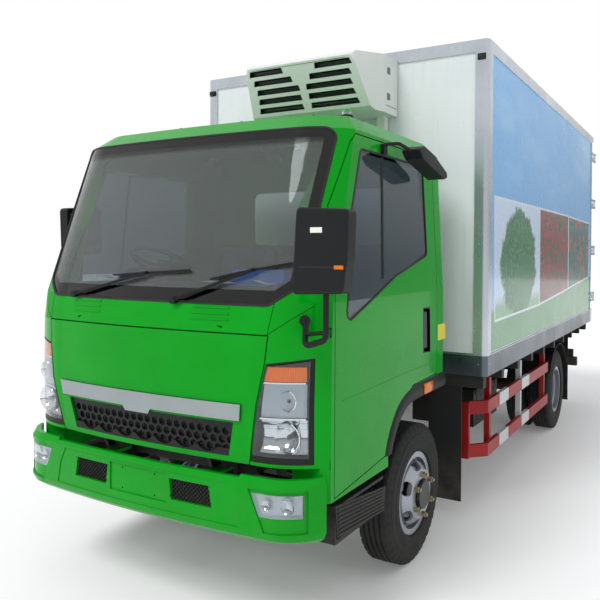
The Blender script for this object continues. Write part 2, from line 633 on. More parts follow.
def ringsInto(mesh, rings, closeRing=True, caps=True):
    # a skin over rows of points, each row as long as the next
    rows = [[mesh.verts.new(point) for point in ring] for ring in rings]
    count = len(rows[0])
    for near, far in zip(rows, rows[1:]):
        for index in range(count if closeRing else count - 1):
            after = (index + 1) % count
            mesh.faces.new((near[index], near[after], far[after], far[index]))
    if caps and closeRing:
        for row in (rows[0], rows[-1]):
            mesh.faces.new(row)


def latheInto(mesh, profile, centre, axis, segments=48, caps=False):
    # profile of (along, radius) turned round a line through centre
    rings = []
    for along, radius in profile:
        ring = []
        for step in range(segments):
            turn = 2 * pi * step / segments
            across = (radius * cos(turn), radius * sin(turn))
            point = {"Y": (across[0], along, across[1]), "Z": (*across, along)}[axis]
            ring.append(Vector(centre) + Vector(point))
        rings.append(ring)
    ringsInto(mesh, rings, caps=caps)


def circleRound(centre, upright, across, radius, segments):
    return [centre + radius * (upright * cos(2 * pi * step / segments)
                               + across * sin(2 * pi * step / segments))
            for step in range(segments)]


def tubeInto(mesh, points, radius, segments=12):
    # round bar along a row of points
    points = [Vector(point) for point in points]
    rings = []
    upright = None
    for index, point in enumerate(points):
        before, after = points[max(index - 1, 0)], points[min(index + 1, len(points) - 1)]
        along = (after - before).normalized()
        if upright is None:
            upright = along.orthogonal().normalized()
        upright = (upright - along * upright.dot(along)).normalized()
        across = along.cross(upright)
        rings.append(circleRound(point, upright, across, radius, segments))
    ringsInto(mesh, rings)


def prismInto(mesh, outline, x, depth):
    # outline of (y, z) pairs at x, made solid along x
    ringsInto(mesh, [[(place, y, z) for y, z in outline] for place in (x, x + depth)])


def looseParts(nodeName):
    # the separate solids of a node, each as its own mesh
    whole = bmesh.new()
    whole.from_mesh(nodes[nodeName].data)
    bmesh.ops.remove_doubles(whole, verts=whole.verts, dist=1e-6)
    parts, left = [], set(whole.verts)
    while left:
        group, queue = set(), [left.pop()]
        while queue:
            vert = queue.pop()
            group.add(vert)
            for edge in vert.link_edges:
                other = edge.other_vert(vert)
                if other in left:
                    left.remove(other)
                    queue.append(other)
        part = bmesh.new()
        index = {vert: part.verts.new(nodes[nodeName].matrix_world @ vert.co) for vert in group}
        for face in whole.faces:
            if face.verts[0] in group:
                part.faces.new([index[vert] for vert in face.verts])
        parts.append(part)
    whole.free()
    return parts


def middleOf(mesh):
    return sum((vert.co for vert in mesh.verts), Vector()) / len(mesh.verts)


def joinInto(target, source, keep=None):
    # copies faces of one mesh into another, all of them or those that keep(face) picks
    index = {}
    for face in source.faces:
        if keep and not keep(face):
            continue
        corners = []
        for vert in face.verts:
            if vert not in index:
                index[vert] = target.verts.new(vert.co)
            corners.append(index[vert])
        target.faces.new(corners)


facingShare = 0.35  # a face looks along a direction when its normal's share of it is larger


def frontSkin(source, looks, metal):
    # thin lens made of the faces of a solid that look along a direction
    skin = bmesh.new()
    joinInto(skin, source, lambda face: face.normal.dot(looks) > facingShare)
    skin.normal_update()
    bmesh.ops.solidify(skin, geom=skin.faces[:] + skin.edges[:] + skin.verts[:], thickness=metal)
    return skin


def pointsOf(nodeName):
    return [nodes[nodeName].matrix_world @ vert.co for vert in nodes[nodeName].data.vertices]


def spanOf(points):
    # low and high corners of a set of points
    points = list(points)
    return [Vector([pick(point[axis] for point in points) for axis in range(3)]) for pick in (min, max)]


def surfaceOf(*nodeNames):
    points, polygons = [], []
    for nodeName in nodeNames:
        start = len(points)
        points += pointsOf(nodeName)
        polygons += [[start + index for index in polygon.vertices]
                     for polygon in nodes[nodeName].data.polygons]
    return BVHTree.FromPolygons(points, polygons)


def frontDepth(surface, x, z, missing=None):
    # y of a surface seen from the front
    hit = surface.ray_cast(Vector((x, -4.0, z)), Vector((0, 1, 0)))[0]
    return hit.y if hit else missing


def frontHit(surface, x, z, off=0.0):
    return Vector((x, frontDepth(surface, x, z) - off, z))


def sideHit(surface, side, y, z, off=0.0):
    place = surface.ray_cast(Vector((side * 2.0, y, z)), Vector((-side, 0, 0)))[0]
    return Vector((place.x + side * off, y, z))


sideNames = (("left", 1), ("right", -1))
print("piece makers ready")

tyreShape = {"half": 0.098, "tread": 0.076, "radius": 0.3845, "bead": 0.2215, "steps": 168, "groove": 0.009,
             "grooves": (-0.046, -0.0155, 0.0155, 0.046), "grooveHalf": 0.0042, "notchEvery": 4,
             "notch": 0.006, "axleZ": 0.385, "twinInset": 0.1}


def tyreProfile(shape, notch):
    half, tread, radius = shape["half"], shape["tread"], shape["radius"]
    side = [(half - 0.030, shape["bead"]), (half - 0.010, 0.2300), (half - 0.004, 0.2340),
            (half - 0.0045, 0.2420), (half - 0.0015, 0.2600), (half, 0.2900), (half - 0.0012, 0.2925),
            (half - 0.0002, 0.2950), (half - 0.003, 0.3260), (half - 0.0055, 0.3280), (half - 0.0085, 0.3480),
            (half - 0.010 - notch, 0.3560), (half - 0.0155 - notch * 1.3, 0.3720),
            (tread + 0.001 - notch, radius - 0.0035 - notch * 0.3),
            (tread - 0.004 - notch, radius - 0.0010 - notch * 0.8)]
    top = []
    for middle in reversed(shape["grooves"]):
        crown = radius - 0.6 * middle * middle
        wide = shape["grooveHalf"] + (0.0016 if notch else 0.0)
        top += [(middle + wide + 0.001, crown), (middle + wide * 0.55, crown - shape["groove"]),
                (middle - wide * 0.55, crown - shape["groove"]), (middle - wide - 0.001, crown)]
    return side + top + [(-along, out) for along, out in reversed(side)]


def makeTyre(name, node, middles, axleY, body):
    mesh = bmesh.new()
    for middle in middles:
        rings = []
        for step in range(tyreShape["steps"]):
            notch = tyreShape["notch"] if step % tyreShape["notchEvery"] == 0 else 0.0
            turn = 2 * pi * step / tyreShape["steps"]
            rings.append([(middle + along, axleY + out * cos(turn), tyreShape["axleZ"] + out * sin(turn))
                          for along, out in tyreProfile(tyreShape, notch)])
        ringsInto(mesh, rings + rings[:1], closeRing=False, caps=False)
    bmesh.ops.remove_doubles(mesh, verts=mesh.verts, dist=1e-5)
    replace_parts(addPiece(name, mesh, "tyreRubber", body, smooth=38), node)


for sideName, side in sideNames:
    low, high = spanOf(pointsOf("front_tyre_" + sideName))
    middle = (low + high) / 2
    makeTyre("frontTyre" + sideName.title(), "front_tyre_" + sideName, (middle.x,), middle.y,
             "front_wheel_" + sideName)
    low, high = spanOf(pointsOf("rear_tyres_" + sideName))
    inset = tyreShape["twinInset"]
    makeTyre("rearTyres" + sideName.title(), "rear_tyres_" + sideName, (low.x + inset, high.x - inset),
             (low.y + high.y) / 2, "rear_wheel_" + sideName)
print("tyres made")

# heights of the cells, each run from the inner to the outer end; depths are behind the lens
lampLook = {"metal": 0.0035, "bowlSegments": 40,
            "amber": {"low": 1.168, "high": 1.232, "deep": 0.012, "ribs": 24, "rib": 0.004},
            "clear": {"low": 1.012, "high": 1.160, "deep": 0.016, "ribs": 46, "rib": 0.003},
            "bowls": ((0.785, 0.925, 0.060), (0.790, 1.086, 0.040)),
            "dividers": ((1.160, 1.167), (1.003, 1.011)), "looks": (0.35, -0.94, 0.1), "surroundX": 0.878,
            "x": (0.652, 0.858), "reflector": {"low": 0.850, "tall": 0.150, "deep": 0.020, "belly": 0.030}}


def lensRow(skin, side, z, deep, count, ribs=0, rib=0.0):
    # points along the lens at one height, set back behind it
    inner, outer = lampLook["x"]
    inner += 0.05 * max(z - 0.84, 0) / 0.42
    row = []
    for step in range(count + 1):
        x = inner + (outer - inner) * step / count
        y = frontDepth(skin, side * x, z, -2.88) + deep
        if ribs and step % 2:
            y += rib
        row.append(Vector((side * x, y, z)))
    return row


def makeHeadlamps():
    lampSkin = surfaceOf("headlamps")
    surround, lens, inside, silver, amber, clear = (bmesh.new() for _ in range(6))
    across, ahead, up = lampLook["looks"]
    for part in looseParts("headlamps"):
        part.normal_update()
        if max(abs(vert.co.x) for vert in part.verts) > lampLook["surroundX"]:
            joinInto(surround, part)
            continue
        looks = Vector((across if middleOf(part).x > 0 else -across, ahead, up))
        skin = frontSkin(part, looks, lampLook["metal"])
        joinInto(lens, skin)
        skin.free()
        joinInto(inside, part, lambda face: face.normal.dot(looks) < facingShare)
    for sideName, side in sideNames:
        for mesh, key in ((amber, "amber"), (clear, "clear")):
            cell = lampLook[key]
            count = cell["ribs"] * 2
            heights = [cell["low"] + (cell["high"] - cell["low"]) * step / 4 for step in range(5)]
            rows = [lensRow(lampSkin, side, z, cell["deep"], count, cell["ribs"], cell["rib"])
                    for z in heights]
            ringsInto(mesh, rows, closeRing=False)
        # bright low reflector, a facetted sheet bellied back from the lens
        rows = []
        shape = lampLook["reflector"]
        for step in range(11):
            z = shape["low"] + shape["tall"] * step / 10
            belly = shape["deep"] + shape["belly"] * sin(pi * step / 10)
            rows.append(lensRow(lampSkin, side, z, belly, 24))
            if step % 2:
                rows.append(lensRow(lampSkin, side, z + 0.002, belly - 0.003, 24))
        ringsInto(silver, rows, closeRing=False)
        for x, z, radius in lampLook["bowls"]:
            front = frontDepth(lampSkin, side * x, z, -2.90) + 0.008
            place = (side * x, front, z)
            bowl = [(0.0, radius + 0.006), (-0.003, radius + 0.003), (0.0, radius), (0.010, radius * 0.9),
                    (0.026, radius * 0.60), (0.034, radius * 0.25), (0.036, 0.0005)]
            bulb = [(0.034, 0.010), (0.012, 0.010), (0.004, 0.004), (0.003, 0.0005)]
            latheInto(silver, bowl, place, "Y", lampLook["bowlSegments"])
            latheInto(inside, bulb, place, "Y", 16)
        for low, high in lampLook["dividers"]:
            edges = ((low, 0.005), (high, 0.005), (high, 0.050), (low, 0.050))
            rows = [lensRow(lampSkin, side, z, deep, 12) for z, deep in edges]
            ringsInto(silver, [list(ring) for ring in zip(*rows)])
    for mesh, name, finish, turn in (
            (surround, "headlampSurround", "blackPlastic", 30), (lens, "headlampLens", "clearLens", 40),
            (inside, "headlampBody", "lampGrey", 40), (silver, "headlampBowls", "lampSilver", 25),
            (clear, "headlampCell", "lampCell", 20), (amber, "headlampAmber", "amberCell", 20)):
        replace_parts(addPiece(name, mesh, finish, "cab", smooth=turn), "headlamps")


makeHeadlamps()
print("headlamps made")

fogLook = {"metal": 0.003, "z": 0.643, "bowls": ((0.815, 0.036, 0.038), (0.722, 0.026, 0.012))}


def makeFogLamps():
    lens, body, silver = bmesh.new(), bmesh.new(), bmesh.new()
    for part in looseParts("fog_lamps"):
        part.normal_update()
        side = 1 if middleOf(part).x > 0 else -1
        looks = Vector((0.4 * side, -0.92, 0.0))
        skin = frontSkin(part, looks, fogLook["metal"])
        joinInto(lens, skin)
        skin.free()
        joinInto(body, part, lambda face: face.normal.dot(looks) < facingShare)
        low = min(vert.co.y for vert in part.verts)
        for x, radius, deep in fogLook["bowls"]:
            latheInto(silver, [(0.0, radius), (0.004, radius * 0.9), (0.010, radius * 0.5), (0.012, 0.0005)],
                      (side * x, low + deep, fogLook["z"]), "Y", 32)
    for mesh, name, finish in ((lens, "fogLens", "clearLens"), (body, "fogBody", "lampCell"),
                               (silver, "fogBowls", "lampSilver")):
        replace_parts(addPiece(name, mesh, finish, "chassis", smooth=40), "fog_lamps")


makeFogLamps()
print("fog lamps made")


def borderLoops(mesh, facing):
    # rows of points round each patch of faces that look along facing
    looks = Vector(facing).normalized()
    mesh.normal_update()
    patch = {face for face in mesh.faces if face.normal.dot(looks) > facingShare}
    after = {}
    for face in patch:
        for loop in face.loops:
            if not any(other in patch for other in loop.edge.link_faces if other is not face):
                after[loop.vert] = loop.link_loop_next.vert
    loops = []
    while after:
        start, vert = after.popitem()
        row = [start.co.copy()]
        while vert is not start and vert in after:
            row.append(vert.co.copy())
            vert = after.pop(vert)
        loops.append(row)
    return loops


def sealInto(mesh, row, radius, shift=(0, 0, 0)):
    # closed bead along a row of points, skipping points that nearly touch
    kept = [row[0]]
    for point in row[1:]:
        if (point - kept[-1]).length > radius * 1.5:
            kept.append(point)
    if (kept[-1] - kept[0]).length < radius * 1.5:
        kept.pop()
    rings = []
    count = len(kept)
    previous = None
    for index in range(count):
        along = (kept[(index + 1) % count] - kept[index - 1]).normalized()
        upright = previous if previous else along.orthogonal().normalized()
        upright = (upright - along * upright.dot(along)).normalized()
        previous = upright
        across = along.cross(upright)
        rings.append(circleRound(kept[index] + Vector(shift), upright, across, radius, 8))
    # the last ring meets the first with the nearest turn, so that the skin does not twist
    turn = min(range(8), key=lambda step: (rings[-1][0] - rings[0][step]).length)
    first = rings[0][turn:] + rings[0][:turn]
    ringsInto(mesh, rings + [first], caps=False)


cabGlassParts = looseParts("cab_glass")
windscreen = min(cabGlassParts, key=lambda part: middleOf(part).y)
rearWindow = max(cabGlassParts, key=lambda part: middleOf(part).y)
sealWidth = {"windscreen": 0.0075, "door": 0.006, "rear": 0.008, "quarterBar": 0.008}
cabSeals = bmesh.new()
for row in borderLoops(windscreen, (0, -1, 0.3)):
    sealInto(cabSeals, row, sealWidth["windscreen"], (0, -0.001, 0))
for row in borderLoops(rearWindow, (0, 1, 0)):
    sealInto(cabSeals, row, sealWidth["rear"])
addPiece("windowSeals", cabSeals, "sealRubber", "cab", smooth=50)
for sideName, side in sideNames:
    doorSeal = bmesh.new()
    glassPart = looseParts("door_glass_" + sideName)[0]
    for row in borderLoops(glassPart, (side, 0, 0)):
        sealInto(doorSeal, row, sealWidth["door"])
    glassPart.free()
    # quarter-light bar that parts the fixed pane from the sliding one
    doorSkin = surfaceOf("door_glass_" + sideName)
    bar = [sideHit(doorSkin, side, -2.26 + 0.012 * step, 1.60 + 0.155 * step) for step in range(5)]
    tubeInto(doorSeal, bar, sealWidth["quarterBar"], segments=8)
    addPiece("doorSeal" + sideName.title(), doorSeal, "sealRubber", "door_" + sideName, smooth=50)
print("seals made")

# slanting mesh in the bumper's pockets
bumperSkin = surfaceOf("front_bumper")
pocketMesh = {"pitch": 0.021, "bar": 0.0022, "inner": 0.206, "outer": 0.438, "low": 0.590, "high": 0.681,
              "proud": 0.003}
bumperMesh = bmesh.new()
span, tall = pocketMesh["outer"] - pocketMesh["inner"], pocketMesh["high"] - pocketMesh["low"]
for sideName, side in sideNames:
    for lean in (1, -1):
        start = -tall
        while start < span:
            # a bar at 45 degrees, clipped to the pocket
            rises = [tall * step / 10 for step in range(11)]
            places = [(start + (rise if lean > 0 else tall - rise), rise) for rise in rises]
            bar = [frontHit(bumperSkin, side * (pocketMesh["inner"] + along), pocketMesh["low"] + rise,
                            pocketMesh["proud"]) for along, rise in places if 0 <= along <= span]
            if len(bar) > 1:
                tubeInto(bumperMesh, bar, pocketMesh["bar"], segments=5)
            start += pocketMesh["pitch"]
addPiece("bumperMesh", bumperMesh, "blackPlastic", "chassis")
print("bumper mesh made")

mirrorLook = {"splitZ": 1.672, "belt": 0.0035, "proud": 0.0012, "headLow": 1.56, "steps": 48, "gap": 0.001,
              "metal": 0.002, "lens": ((1.070, -3.0035, 1.664), (1.112, -2.9955, 1.680)),
              "label": (0.985, 1.822), "labelHalf": (0.028, 0.011)}
# panes of each mirror, as outlines of (across, up) pairs on the head's flat face
mirrorPanes = {
    "Left": {"node": "mirror_left", "body": "cab", "looks": (0, -1, 0),
             "from": lambda across, up: (across, -2.5, up),
             "outlines": (((0.894, 1.686), (1.104, 1.690), (1.108, 1.886), (0.902, 1.894)),
                          ((0.884, 1.578), (1.090, 1.586), (1.100, 1.660), (0.890, 1.658)))},
    "Right": {"node": "mirror_right", "body": "door_right", "looks": (-1, 0, 0),
              "from": lambda across, up: (-0.6, across, up),
              "outlines": (((-2.540, 1.790), (-2.330, 1.806), (-2.334, 1.980), (-2.545, 1.962)),
                           ((-2.535, 1.712), (-2.326, 1.734), (-2.328, 1.782), (-2.540, 1.766)))}}


def ringAround(nodeName, z, grow, high, mesh):
    # thin belt round a mirror head at one height
    low, top = [], []
    surface = surfaceOf(nodeName)
    points = [vert.co for vert in nodes[nodeName].data.vertices if vert.co.z > mirrorLook["headLow"]]
    middle = sum(points, Vector()) / len(points)
    for step in range(mirrorLook["steps"]):
        turn = 2 * pi * step / mirrorLook["steps"]
        looks = Vector((cos(turn), sin(turn), 0))
        place = surface.ray_cast(Vector((middle.x, middle.y, z)) + looks, -looks)[0]
        if place is None:
            continue
        low.append(place + looks * grow - Vector((0, 0, high)))
        top.append(place + looks * grow + Vector((0, 0, high)))
    ringsInto(mesh, (low, top))


mirrorTrim, mirrorLens, mirrorLabel = bmesh.new(), bmesh.new(), bmesh.new()
ringAround("mirror_left", mirrorLook["splitZ"], mirrorLook["proud"], mirrorLook["belt"], mirrorTrim)
addPiece("mirrorSplit", mirrorTrim, "sealRubber", "cab", smooth=40)
for key, pane in mirrorPanes.items():
    glass, headSkin, looks = bmesh.new(), surfaceOf(pane["node"]), Vector(pane["looks"])
    for outline in pane["outlines"]:
        hits = [headSkin.ray_cast(Vector(pane["from"](across, up)), looks)[0] for across, up in outline]
        ring = [hit - looks * mirrorLook["gap"] for hit in hits]
        ringsInto(glass, (ring, [point + looks * mirrorLook["metal"] for point in ring]))
    addPiece("mirrorGlass" + key, glass, "mirrorSilver", pane["body"])
boxInto(mirrorLens, *mirrorLook["lens"], round=0.002)
addPiece("mirrorLens", mirrorLens, "amberLens", "cab")
labelPlace = frontHit(surfaceOf("mirror_left"), *mirrorLook["label"])
wide, tall = mirrorLook["labelHalf"]
boxInto(mirrorLabel, labelPlace + Vector((-wide, -0.0012, -tall)), labelPlace + Vector((wide, 0.0005, tall)),
        round=0.0003)
addPiece("mirrorLabel", mirrorLabel, "paperWhite", "cab")
print("mirrors dressed")


def cushion(mesh, low, high, round, puff):
    # upholstered block: rounded, with softly domed faces
    block = bmesh.new()
    bmesh.ops.create_cube(block, size=1.0)
    size = Vector(high) - Vector(low)
    bmesh.ops.scale(block, vec=size, verts=block.verts)
    bevelEdges(block, block.edges[:], round, 4)
    longEdges = [edge for edge in block.edges if edge.calc_length() > round * 2]
    bmesh.ops.subdivide_edges(block, edges=longEdges, cuts=6, use_grid_fill=True)
    for vert in block.verts:
        share = Vector([1 - min(abs(vert.co[axis]) / (size[axis] / 2), 1) ** 2 for axis in range(3)])
        for axis in range(3):
            others = [share[other] for other in range(3) if other != axis]
            if abs(vert.co[axis]) > size[axis] * 0.49:
                vert.co[axis] += (1 if vert.co[axis] > 0 else -1) * puff * others[0] * others[1]
    middle = (Vector(low) + Vector(high)) / 2
    bmesh.ops.translate(block, vec=middle, verts=block.verts)
    joinInto(mesh, block)
    block.free()


seatLook = {"places": ((-0.620, -0.180), (-0.120, 0.220), (0.260, 0.620)), "base": 1.0505, "top": 1.192,
            "front": -2.240, "back": -1.725, "round": 0.03, "puff": 0.010,
            "leanPlace": (0, -1.670, 1.150), "lean": -7.0, "leanHalf": 0.055, "leanTall": 0.62,
            "leanPuff": 0.012}  # the lean values are for the backrests
seatMesh, filmMesh = bmesh.new(), bmesh.new()
for near, far in seatLook["places"]:
    cushion(seatMesh, (near, seatLook["front"], seatLook["base"]), (far, seatLook["back"], seatLook["top"]),
            seatLook["round"], seatLook["puff"])
    back = bmesh.new()
    cushion(back, (near, -seatLook["leanHalf"], 0.0), (far, seatLook["leanHalf"], seatLook["leanTall"]),
            seatLook["round"], seatLook["leanPuff"])
    lean = Matrix.Rotation(radians(seatLook["lean"]), 4, "X")
    bmesh.ops.transform(back, matrix=Matrix.Translation(seatLook["leanPlace"]) @ lean, verts=back.verts)
    joinInto(seatMesh, back)
    # clear dust cover over the backrest, creased and a little loose
    for vert in back.verts:
        crease = 0.004 * sin(vert.co.x * 60 + vert.co.z * 23) + 0.003 * sin(vert.co.z * 75 - vert.co.x * 31)
        outward = -0.006 - crease if vert.co.y < -1.66 else 0.004
        vert.co += Vector(((vert.co.x - (near + far) / 2) * 0.02, outward, 0.004))
    joinInto(filmMesh, back)
    back.free()
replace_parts(addPiece("seatCushions", seatMesh, "seatCloth", "cab", smooth=50), "seats")
addPiece("seatCovers", filmMesh, "clearFilm", "cab", smooth=50)

dashSkin = surfaceOf("dashboard")


def topHit(surface, x, y, start=3.2):
    # place on a surface seen from above, and the way it looks there
    return surface.ray_cast(Vector((x, y, start)), Vector((0, 0, -1)))[:2]


dashTrim, ventMesh, paperMesh, folderMesh = (bmesh.new() for _ in range(4))
dashLook = {"hoodX": -0.40, "hood": ((-2.66, 0.3), (-2.63, 0.75), (-2.58, 1.0), (-2.50, 1.0)),
            "dialY": -2.560,
            "dials": (-0.46, -0.34), "vents": (-0.70, -0.12, 0.12, 0.70), "slats": 5,
            "knobs": (-0.05, 0.0, 0.05),
            "lever": (-0.085, -2.42)}
hood = [(0.19 * cos(pi * step / 16), 0.085 * sin(pi * step / 16) ** 0.8) for step in range(17)]
padLook = {"half": 0.70, "low": 1.420, "front": 1.548, "top": 1.566, "rear": -2.470, "gap": 0.030}
glassSkin = surfaceOf("cab_glass", "cab_shell")
rings = []
for step in range(29):
    x = -padLook["half"] + padLook["half"] * step / 14
    near = max(frontDepth(glassSkin, x, padLook[key]) for key in ("front", "top")) + padLook["gap"]
    end = 0.03 * max(abs(x) - 0.62, 0) / 0.08
    low, rear, top = padLook["low"], padLook["rear"], padLook["top"] - end
    rings.append([(x, near, low), (x, near, padLook["front"] - end), (x, near + 0.02, top),
                  (x, rear - 0.05, top), (x, rear, top - 0.03), (x, rear, low)])
ringsInto(dashTrim, rings)
rings = []
for y, size in dashLook["hood"]:
    rings.append([(dashLook["hoodX"] + across * size, y, padLook["top"] - 0.004 + up * size)
                  for across, up in hood])
ringsInto(dashTrim, rings)
dialZ = topHit(dashSkin, dashLook["hoodX"], dashLook["dialY"], 2.2)[0].z + 0.032
for x in dashLook["dials"]:
    latheInto(ventMesh, [(0.0, 0.042), (0.004, 0.044), (0.007, 0.040)], (x, dashLook["dialY"], dialZ), "Y",
              caps=True)
for x in dashLook["vents"]:
    boxInto(ventMesh, (x - 0.07, -2.487, 1.270), (x + 0.07, -2.470, 1.325), round=0.004)
    for slat in range(dashLook["slats"]):
        boxInto(dashTrim, (x - 0.064, -2.476, 1.2765 + 0.0105 * slat),
                (x + 0.064, -2.464, 1.2795 + 0.0105 * slat))
boxInto(dashTrim, (-0.09, -2.500, 1.195), (0.09, -2.483, 1.258), round=0.004)
for x in dashLook["knobs"]:
    latheInto(dashTrim, [(-2.486, 0.013), (-2.474, 0.012), (-2.472, 0.009), (-2.472, 0.0005)], (x, 0, 1.225),
              "Y", 20)
boxInto(dashTrim, (0.30, -2.492, 1.200), (0.66, -2.480, 1.262), round=0.004)
# gear lever with its boot
x, y = dashLook["lever"]
tubeInto(dashTrim, [(x, y, 1.052), (x, y - 0.01, 1.20), (x, y + 0.01, 1.30)], 0.009)
latheInto(dashTrim, [(1.298, 0.010), (1.306, 0.020), (1.326, 0.023), (1.340, 0.016), (1.344, 0.0005)],
          (x, y + 0.01, 0), "Z", 24)
latheInto(dashTrim, [(1.051, 0.055), (1.075, 0.045), (1.085, 0.030), (1.115, 0.026), (1.125, 0.010)],
          (x, y, 0), "Z", 24)
# papers as (x, y, width, depth, turn)
sheets = ((0.24, -2.62, 0.24, 0.15, 12), (0.52, -2.59, 0.22, 0.15, -18), (-0.60, -2.58, 0.20, 0.14, 24))
for index, (x, y, wide, deep, turn) in enumerate(sheets):
    spin = Matrix.Rotation(radians(turn), 3, "Z")
    base = padLook["top"] + 0.006 + 0.003 * index
    rows = []
    for i in range(7):
        lift = 0.006 * sin(i * 0.9 + index) + 0.010 * (abs(i / 6 - 0.5) * 2) ** 3
        flats = [spin @ Vector((wide * (i / 6 - 0.5), deep * (j / 4 - 0.5), 0)) for j in range(5)]
        rows.append([(x + flat.x, y + flat.y, base + lift) for flat in flats])
    ringsInto(paperMesh, rows, closeRing=False)
boxInto(folderMesh, (0.20, -2.68, padLook["top"]), (0.58, -2.50, padLook["top"] + 0.006), round=0.002)
boxInto(folderMesh, (0.24, -2.60, padLook["top"] + 0.010), (0.56, -2.50, padLook["top"] + 0.075), round=0.004)
addPiece("dashFittings", dashTrim, "insideDark", "cab", smooth=35)
addPiece("dashVents", ventMesh, "insideDark", "cab", smooth=35)
addPiece("dashPapers", paperMesh, "paperWhite", "cab", smooth=60)
addPiece("dashFolder", folderMesh, "folderBlue", "cab")
print("cabin dressed")

wheelLook = {"place": (-0.400, -2.420, 1.640), "rim": 0.196, "bar": 0.0135, "tilt": 30.0, "rise": 0.014,
             "spokes": (100, 215, 325), "spokeBar": 0.012, "stalkBar": 0.008}
steerMesh = bmesh.new()
rings = []
for step in range(64):
    out = Vector((cos(2 * pi * step / 64), sin(2 * pi * step / 64), 0))
    centre = out * wheelLook["rim"] + Vector((0, 0, wheelLook["rise"]))
    rings.append(circleRound(centre, out, Vector((0, 0, 1)), wheelLook["bar"], 12))
ringsInto(steerMesh, rings + rings[:1], caps=False)
for turn in wheelLook["spokes"]:
    out = Vector((cos(radians(turn)), sin(radians(turn)), 0))
    spoke = [out * away + Vector((0, 0, up)) for away, up in ((0.04, -0.004), (0.10, 0.0), (0.19, 0.012))]
    tubeInto(steerMesh, spoke, wheelLook["spokeBar"], segments=10)
latheInto(steerMesh, [(-0.020, 0.046), (-0.012, 0.056), (0.008, 0.058), (0.020, 0.050), (0.024, 0.0005)],
          (0, 0, 0), "Z", 40)
latheInto(steerMesh, [(-0.255, 0.036), (-0.070, 0.036), (-0.060, 0.046), (-0.022, 0.046)], (0, 0, 0), "Z", 32)
for hand in (1, -1):
    stalk = [(0.03 * hand, 0, -0.075), (0.13 * hand, 0.01, -0.065), (0.20 * hand, 0.015, -0.055)]
    tubeInto(steerMesh, stalk, wheelLook["stalkBar"], segments=8)
bmesh.ops.remove_doubles(steerMesh, verts=steerMesh.verts, dist=1e-6)
bmesh.ops.transform(steerMesh, verts=steerMesh.verts,
                    matrix=Matrix.Translation(wheelLook["place"])
                    @ Matrix.Rotation(radians(-wheelLook["tilt"]), 4, "X"))
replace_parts(addPiece("steeringWheel", steerMesh, "insideDark", "cab", smooth=45), "steering_wheel")
print("steering wheel made")

boxLook = {"rivet": 0.0042, "half": 1.140, "front": -1.1675, "rear": 2.8575, "postPitch": 0.11,
           "postZ": (1.02, 3.06), "railPitch": 0.16, "railZ": (1.058, 3.050), "topX": 1.0, "topZ": 3.060}


def placesAlong(start, stop, pitch):
    # evenly pitched places that stay under stop
    places = []
    while start < stop:
        places.append(start)
        start += pitch
    return places


def rivetInto(mesh, place, looks, radius):
    looks = Vector(looks)
    turn = looks.to_track_quat("Z", "Y").to_matrix().to_4x4()
    made = bmesh.ops.create_uvsphere(mesh, u_segments=8, v_segments=5, radius=radius)["verts"]
    bmesh.ops.scale(mesh, vec=(1, 1, 0.5), verts=made)
    bmesh.ops.transform(mesh, matrix=Matrix.Translation(place) @ turn, verts=made)


trimSkin = surfaceOf("box_trim", "box_floor", "box_wall_left", "box_wall_right")
boxFrontSkin = surfaceOf("box_trim", "box_front_wall")
rivets = bmesh.new()
for sideName, side in sideNames:
    for z in placesAlong(*boxLook["postZ"], boxLook["postPitch"]):
        rivetInto(rivets, sideHit(trimSkin, side, boxLook["front"] + 0.052, z), (side, 0, 0),
                  boxLook["rivet"])
        rivetInto(rivets, frontHit(boxFrontSkin, side * (boxLook["half"] - 0.055), z), (0, -1, 0),
                  boxLook["rivet"])
    for y in placesAlong(boxLook["front"] + 0.14, boxLook["rear"] - 0.05, boxLook["railPitch"]):
        for z in boxLook["railZ"]:
            rivetInto(rivets, sideHit(trimSkin, side, y, z), (side, 0, 0), boxLook["rivet"])
for x in placesAlong(-boxLook["topX"], boxLook["topX"], boxLook["railPitch"]):
    rivetInto(rivets, frontHit(boxFrontSkin, x, boxLook["topZ"]), (0, -1, 0), boxLook["rivet"])
addPiece("boxRivets", rivets, "postAluminium", "chassis", smooth=60)

# white line on the skirt, under the side panel
skirtLook = {"metal": 0.0015, "low": (-1.118, 1.0835), "high": (2.80, 1.0905), "probe": (0.5, 1.088)}
skirtLine = bmesh.new()
for sideName, side in sideNames:
    near = sideHit(trimSkin, side, *skirtLook["probe"])
    inner, outer = sorted((near.x, near.x + side * skirtLook["metal"]))
    boxInto(skirtLine, (inner, *skirtLook["low"]), (outer, *skirtLook["high"]))
addPiece("skirtLine", skirtLine, "trimWhite", "chassis")

# corner marker lamps: a clear cap in front of a black foot
markerLook = {"foot": 0.007, "capLow": (0.004, 0, 0.004), "capHigh": (0.004, 0.006, 0.004)}
lampFeet, lampCaps = bmesh.new(), bmesh.new()
for lamp in looseParts("marker_lamps"):
    low, high = spanOf(vert.co for vert in lamp.verts)
    boxInto(lampFeet, (low.x, high.y - markerLook["foot"], low.z), high, round=0.002)
    boxInto(lampCaps, low + Vector(markerLook["capLow"]), high - Vector(markerLook["capHigh"]), round=0.004)
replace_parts(addPiece("markerFeet", lampFeet, "blackPlastic", "chassis"), "marker_lamps")
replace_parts(addPiece("markerCaps", lampCaps, "clearLens", "chassis", smooth=50), "marker_lamps")

